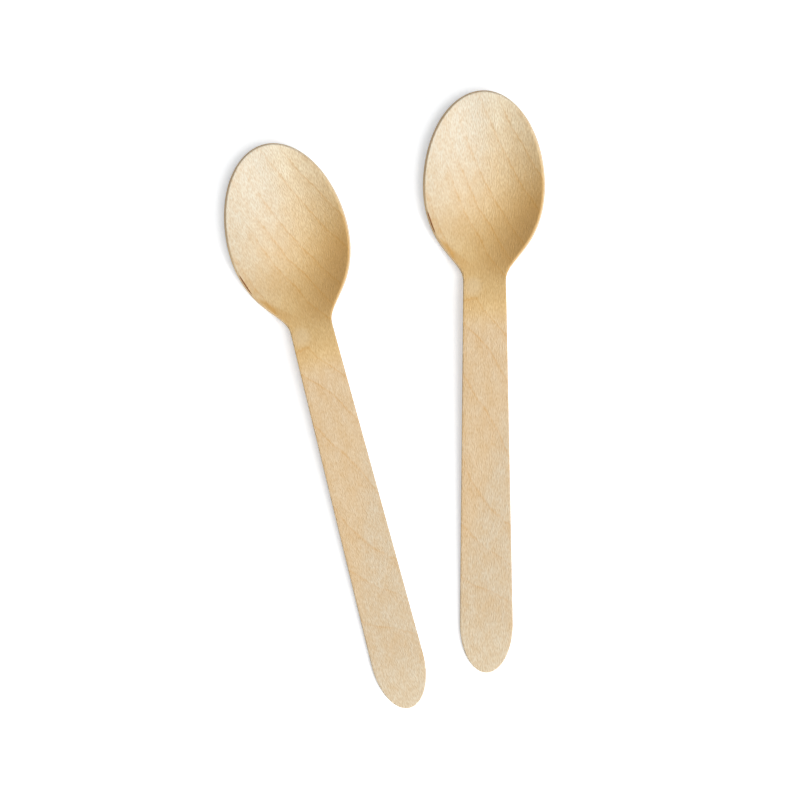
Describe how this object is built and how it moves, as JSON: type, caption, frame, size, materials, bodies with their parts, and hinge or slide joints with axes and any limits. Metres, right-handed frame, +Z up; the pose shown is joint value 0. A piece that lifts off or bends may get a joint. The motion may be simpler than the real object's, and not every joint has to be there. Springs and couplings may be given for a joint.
{
  "type": "disposable wooden spoon pair",
  "caption": "Disposable birch spoons, stamped and pressed from veneer with an oval bowl and a flat round-ended handle, lying side by side.",
  "frame": {"origin": "middle of the pair's footprint, on the surface that the spoons lie on", "axes": "+Y towards the tips of the bowls, +Z up, +X towards the straight spoon"},
  "size_m": [0.0882, 0.1698, 0.0094],
  "materials": {
    "birch_veneer": "bare rotary-cut birch, dry and slightly silky, darker at the cut edges"
  },
  "bodies": {
    "root": {"left_spoon": "birch_veneer", "right_spoon": "birch_veneer"}
  },
  "joints": []
}
